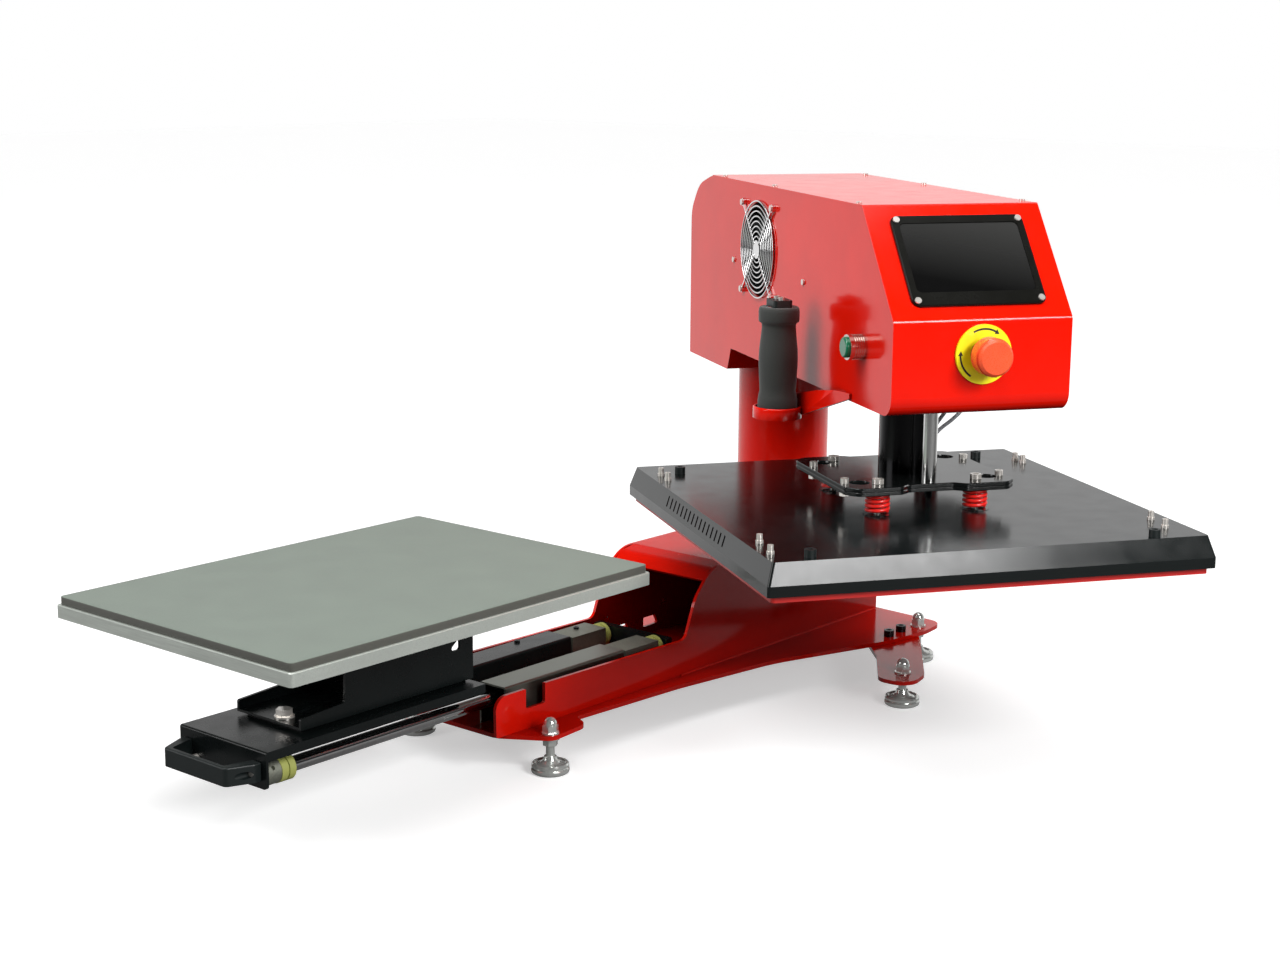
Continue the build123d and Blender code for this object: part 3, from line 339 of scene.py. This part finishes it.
LOOKS = {
    "red": ["base_plate", "outrigger_plate", "side_plate_right", "side_plate_left", "column",
            "head_shell", "head_lid", "grip_bracket"],
    "red_cover": ["column_bridge"],
    "red_satin": ["insulation_band"],
    "spring": ["float_springs"],
    # The steel rod_crossbar takes the black coat as painted shade: it sits in shade under the
    # drawer.
    "black": ["drawer_deck", "guide_channel_left", "platen_tray", "rod_crossbar"],
    "hood": ["hood_shell"],
    "plate_black": ["pressure_plates"],
    "bezel": ["screen_bezel"],
    "ram": ["ram"],
    "zinc": ["guide_channel_right", "power_supply"],
    "platen": ["lower_platen"],
    "rod": ["slide_rods"],
    "guide": ["guide_rod"],
    "wire": ["fan_guard"],
    "stainless": ["drawer_screws", "head_screws", "plate_bolts", "float_bolts", "hood_screws"],
    "foot": ["levelling_feet"],
    "dark_screw": ["base_screws"],
    "machined": ["swivel_shaft", "thrust_bearing", "head_chassis", "swivel_hub", "heater_element"],
    "nickel": ["button_collar"],
    "bronze": ["guide_bushes"],
    "cast": ["bearing_blocks", "rod_collars"],
    "iron": ["heat_platen", "press_actuator"],
    "plastic": ["power_inlet", "drawer_handle", "estop_switch", "fan_frame", "grip_cap",
                "estop_plunger", "fan_impeller", "hood_caps"],
    "stop_red": ["estop_button"],
    "stop_yellow": ["estop_ring"],
    "green": ["green_button"],
    "cable": ["heater_cables"],
    "circuit": ["control_board"],
    "glass": ["screen_glass"],
    "bumper": ["rod_bumpers"],
    "pad": ["silicone_pad"],
    "foam": ["grip_foam"],
}
for look, names in LOOKS.items():
    for name in names:
        for slot in nodes[name].material_slots:
            slot.material = M[look]

# The float bolts' heads are bright, and the springs' seats, which lie below this height, are black.
SEAT_TOP = 0.295
bolts = nodes["float_bolts"]
bolts.data.materials.append(M["plate_black"])
for poly in bolts.data.polygons:
    if (bolts.matrix_world @ poly.center).z < SEAT_TOP:
        poly.material_index = len(bolts.data.materials) - 1


def soft_edges(name, width):
    """Rounds the node's sharp edges a little, so that they catch the light as real edges do."""
    obj = nodes[name]
    weld = obj.modifiers.new("join", "WELD")
    weld.merge_threshold = 1e-5
    bevel = obj.modifiers.new("edges", "BEVEL")
    bevel.width = width
    bevel.segments = 2
    bevel.limit_method = "ANGLE"
    bevel.angle_limit = radians(35)
    bevel.harden_normals = True


soft_edges("grip_bracket", 0.0007)
soft_edges("pressure_plates", 0.0003)

# Springs, in head millimetres: the wire's and the coil's radius, and the turns
SPRING_XY = [(x, y) for x in (-58, 58) for y in (-468, -334)]
SPRING_LOW, SPRING_HIGH = 288.8, 312.8
WIRE, COIL, TURNS = 2.0, 12.0, 4
STEPS_A_TURN, WIRE_SIDES = 28, 10


def spring_mesh():
    """Four compression springs of round wire."""
    bm = bmesh.new()
    steps = TURNS * STEPS_A_TURN
    low, high = SPRING_LOW + WIRE, SPRING_HIGH - WIRE
    for x, y in SPRING_XY:
        rings = []
        for i in range(steps + 1):
            t = i / steps
            a = 2 * pi * TURNS * t
            mid = Vector((x + COIL * cos(a), y + COIL * sin(a), low + (high - low) * t))
            out = Vector((cos(a), sin(a), 0))
            ring = []
            for k in range(WIRE_SIDES):
                b = 2 * pi * k / WIRE_SIDES
                place = mid + WIRE * (out * cos(b) + UP * sin(b))
                ring.append(bm.verts.new(head(*place)))
            rings.append(ring)
        ring_faces(bm, rings)
        caps(bm, rings)
    return finished(bm, "spring_coils")


coils = new_object("spring_coils", spring_mesh(), None, M["spring"])
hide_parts("float_springs")
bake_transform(coils)

# Heater leads, in head millimetres, from the head's underside down to the doubled plate
LEAD_RADIUS = 0.0022
CABLE_ROUTES = [
    [(70, -385, 425), (70, -385, 411), (66, -384, 396), (57, -381, 381), (49, -373, 365),
     (47, -367, 346), (47, -367, 330), (47, -367, 308), (47, -367, 292)],
    [(92, -385, 425), (92, -385, 408), (84, -382, 390), (72, -375, 373), (57, -362, 357),
     (51, -356, 340), (51, -356, 322), (51, -356, 308), (51, -356, 292)],
]


def cable_mesh(route, name):
    """Round lead on a smooth curve that the route's points draw to themselves."""
    curve = bpy.data.curves.new(name, "CURVE")
    curve.dimensions = "3D"
    curve.bevel_depth = LEAD_RADIUS
    curve.bevel_resolution = 4
    curve.resolution_u = 10
    curve.use_fill_caps = True
    line = curve.splines.new("NURBS")
    line.points.add(len(route) - 1)
    for point, place in zip(line.points, route):
        point.co = (*head(*place), 1)
    line.order_u = 3
    line.use_endpoint_u = True
    shape = bpy.data.objects.new(name, curve)
    mesh = bpy.data.meshes.new_from_object(shape)
    bpy.data.objects.remove(shape)
    return mesh


for number, route in enumerate(CABLE_ROUTES):
    name = "heater_lead_%d" % (number + 1)
    lead = new_object(name, cable_mesh(route, name), None, M["cable"])
    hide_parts("heater_cables")
    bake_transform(lead)

# Pad, in metres: the radius of its corners, of its top edge, and the least radius of an inner ring
PAD_CORNER, PAD_EDGE, PAD_LEAST = 0.005, 0.0009, 0.0015
PAD_INSETS = (0.006, 0.03, 0.08, 0.13)
CORNER_STEPS = 6


def pad_mesh():
    """Sponge pad with rounded corners and a soft top edge."""
    low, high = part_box("silicone_pad")
    mid = (low + high) / 2
    half = (high - low) / 2
    top = high.z - low.z
    levels = [(0.0, 0.0005), (0.0006, 0.0)]
    for k in range(CORNER_STEPS + 1):
        a = k * pi / 2 / CORNER_STEPS
        levels.append((top - PAD_EDGE + PAD_EDGE * sin(a), PAD_EDGE - PAD_EDGE * cos(a)))
    levels += [(top, inset) for inset in PAD_INSETS]
    bm = bmesh.new()
    rings = []
    for z, inset in levels:
        r = max(PAD_CORNER - inset, PAD_LEAST)
        reach_x, reach_y = half.x - inset - r, half.y - inset - r
        ring = []
        for sx, sy, first in ((1, 1, 0), (-1, 1, 90), (-1, -1, 180), (1, -1, 270)):
            for k in range(CORNER_STEPS + 1):
                a = radians(first + 90 * k / CORNER_STEPS)
                ring.append(bm.verts.new((mid.x + sx * reach_x + r * cos(a),
                                          mid.y + sy * reach_y + r * sin(a), low.z + z)))
        rings.append(ring)
    ring_faces(bm, rings)
    caps(bm, rings)
    return finished(bm, "press_pad")


press_pad = new_object("press_pad", pad_mesh(), "drawer", M["pad"])
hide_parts("silicone_pad")

# Grip: radius and height of its outline, in head millimetres
GRIP_X, GRIP_Y = -142, -372
GRIP_SIDES = 48
GRIP_PROFILE = [(12.5, 391), (20.8, 391), (21.5, 392.5), (22.1, 397), (22.1, 402), (21.3, 408),
                (20.2, 413), (20.5, 420), (21.0, 428), (21.6, 440), (21.8, 450), (21.4, 459),
                (20.6, 467), (19.6, 476), (18.9, 484), (19.0, 487.5), (19.9, 489.2), (22.2, 490.6),
                (22.7, 492.5), (22.7, 502), (22.2, 505.5), (21, 507), (12.5, 507)]


def grip_mesh():
    """Foam sleeve: the outline turned about the grip's axis."""
    bm = bmesh.new()
    angles = [2 * pi * k / GRIP_SIDES for k in range(GRIP_SIDES)]
    rings = [[bm.verts.new(head(GRIP_X + r * cos(a), GRIP_Y + r * sin(a), z)) for a in angles]
             for r, z in GRIP_PROFILE]
    ring_faces(bm, rings + rings[:1])
    return finished(bm, "foam_grip")


foam = new_object("foam_grip", grip_mesh(), "head", M["foam"])
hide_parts("grip_foam")

# Turn arrows on the emergency stop's ring, in head millimetres: its face and centre, the band's
# radii, and the tip's radii
RING_FACE, RING_Z = -599.56, 481.5
BAND_OUT, BAND_IN = 27.2, 25.2
TIP_OUT, TIP_MID, TIP_IN = 29.0, 26.2, 23.4
FIRST_ARROW, ARROW_SWEEP, TIP_SWEEP = 118, radians(-56), radians(-11)
ARROWS, BAND_STEPS = 3, 12


def arrow_mesh():
    """Three curved arrows that show the way the mushroom turns to release."""
    bm = bmesh.new()

    def point(r, a):
        return bm.verts.new(head(r * cos(a), RING_FACE, RING_Z + r * sin(a)))

    for number in range(ARROWS):
        start = radians(FIRST_ARROW + 360 / ARROWS * number)
        angles = [start + ARROW_SWEEP * k / BAND_STEPS for k in range(BAND_STEPS + 1)]
        outer = [point(BAND_OUT, a) for a in angles]
        inner = [point(BAND_IN, a) for a in angles]
        for k in range(BAND_STEPS):
            bm.faces.new((outer[k], outer[k + 1], inner[k + 1], inner[k]))
        end = start + ARROW_SWEEP
        bm.faces.new([point(TIP_OUT, end), point(TIP_MID, end + TIP_SWEEP), point(TIP_IN, end)])
    return finished(bm, "turn_arrows")


new_object("turn_arrows", arrow_mesh(), "head", M["ink"], False)

# Studio
AWAY = Vector((-0.634, 0.746, 0))      # from the camera's side of the object to the backdrop
FLOOR_NEAR, FLOOR_FAR = 0.45, 0.8      # the floor's glow to the camera, by the object and far out
FLOOR_GLOSS = 0.85                     # the same to reflections, towards the backdrop
FLOOR_HALF = 14
GLOSS_FRONT, GLOSS_BACK = 0.03, 0.78   # the room to reflections, in front and behind
GLOSS_HIGH = 0.12                      # the part of that which is left high up
FILL = 0.22                            # the room's light on dull surfaces


def floor():
    """Pale floor that keeps the shadow. Gloss sees it white towards the backdrop."""
    n = Nodes("studio_floor")
    n.set(Base_Color=n.mix(n.span(n.noise(3, 3), 0, 1), (0.80, 0.80, 0.80), (0.83, 0.83, 0.83)),
          Roughness=0.7, Specular_IOR_Level=0.1)
    path = n.add("ShaderNodeLightPath").outputs
    distance = n.add("ShaderNodeVectorMath", {0: n.coords}, operation="LENGTH").outputs["Value"]
    glowing = n.smooth(distance, 1.0, 3.0, FLOOR_NEAR, FLOOR_FAR)
    shown = n.maths("MULTIPLY", glowing, path["Is Camera Ray"])
    back = n.smooth(n.dot(n.coords, AWAY), -0.3, 1.6, 0.0, FLOOR_GLOSS)
    gloss = n.maths("MULTIPLY", n.reflected(path), back)
    glow = n.add("ShaderNodeEmission", {"Strength": n.maths("ADD", shown, gloss)})
    dull = n.add("ShaderNodeBsdfDiffuse", {"Color": (0.14, 0.14, 0.14, 1)})
    surface = n.add("ShaderNodeMixShader",
                    {"Fac": path["Is Camera Ray"], 1: dull.outputs[0], 2: n.shader.outputs[0]})
    both = n.add("ShaderNodeAddShader", {0: surface.outputs[0], 1: glow.outputs[0]})
    n.feed(n.tree.nodes["Material Output"].inputs["Surface"], both.outputs[0])

    mesh = bpy.data.meshes.new("floor")
    size = FLOOR_HALF
    mesh.from_pydata([(-size, -size, 0), (size, -size, 0), (size, size, 0), (-size, size, 0)], [],
                     [(0, 1, 2, 3)])
    mesh.materials.append(n.material)
    obj = bpy.data.objects.new("floor", mesh)
    bpy.context.scene.collection.objects.link(obj)


def world():
    """White backdrop to the camera and behind the object, dimmer round the rest of the room."""
    room = bpy.data.worlds.new("studio")
    bpy.context.scene.world = room
    n = Tree(room)
    way = n.add("ShaderNodeTexCoord").outputs["Generated"]
    path = n.add("ShaderNodeLightPath").outputs
    behind = n.smooth(n.dot(way, AWAY), 0.0, 0.7, GLOSS_FRONT, GLOSS_BACK)
    low = n.smooth(n.dot(way, UP), 0.3, 0.65, 1.0, GLOSS_HIGH)
    gloss = n.maths("MULTIPLY", n.maths("MULTIPLY", n.reflected(path), behind), low)
    fill = n.maths("MULTIPLY", path["Is Diffuse Ray"], FILL)
    power = n.maths("ADD", n.maths("ADD", gloss, fill), path["Is Camera Ray"])
    light = n.tree.nodes["Background"]
    n.feed(light.inputs["Color"], (1.0, 1.0, 1.0, 1))
    n.feed(light.inputs["Strength"], power)


def lamp(name, place, aim, size, power):
    """Rectangular lamp at a place, turned to what it aims at."""
    data = bpy.data.lights.new(name, "AREA")
    data.shape = "RECTANGLE"
    data.size, data.size_y = size
    data.energy = power
    obj = bpy.data.objects.new(name, data)
    bpy.context.scene.collection.objects.link(obj)
    obj.location = place
    obj.rotation_euler = (Vector(aim) - Vector(place)).to_track_quat("-Z", "Y").to_euler()


# Camera, found from the photo's own edges: its place in machine millimetres, its turns, and its
# focal length in the photo's pixels
EYE = (1626.5, -2203.5, 795)
LOOK_DOWN, AROUND, ROLL = 0.20475, radians(40.34), 0.0072
FOCAL, PHOTO_WIDTH, SENSOR = 2120.5, 1280, 36


def camera():
    """Camera that matches the photo's."""
    ahead = Vector((-sin(AROUND) * cos(LOOK_DOWN), cos(AROUND) * cos(LOOK_DOWN), -sin(LOOK_DOWN)))
    right = ahead.cross(UP).normalized()
    up = right.cross(ahead)
    right, up = right * cos(ROLL) + up * sin(ROLL), up * cos(ROLL) - right * sin(ROLL)
    data = bpy.data.cameras.new("camera")
    data.sensor_fit = "HORIZONTAL"
    data.sensor_width = SENSOR
    data.lens = FOCAL / PHOTO_WIDTH * SENSOR
    data.clip_end = 100
    obj = bpy.data.objects.new("camera", data)
    bpy.context.scene.collection.objects.link(obj)
    turn = Matrix((right, up, -ahead)).transposed().to_4x4()
    obj.matrix_world = Matrix.Translation(base(*EYE)) @ turn
    bpy.context.scene.camera = obj


floor()
world()
lamp("overhead", (0.0, 0.1, 2.8), (0.0, 0.0, 0.3), (2.2, 2.2), 40)
lamp("key", (-0.5, -1.9, 2.9), (0.0, -0.1, 0.3), (1.5, 1.5), 50)
lamp("right", (2.6, -0.25, 1.9), (0.1, 0.1, 0.4), (0.9, 0.9), 62)
lamp("left", (-1.7, -2.5, 1.1), (0.0, 0.0, 0.4), (1.5, 1.2), 24)
lamp("strip", (3.0, -0.85, 1.35), (0.2, 0.0, 0.3), (1.25, 0.5), 34)
camera()
bpy.context.scene.view_settings.view_transform = "Standard"
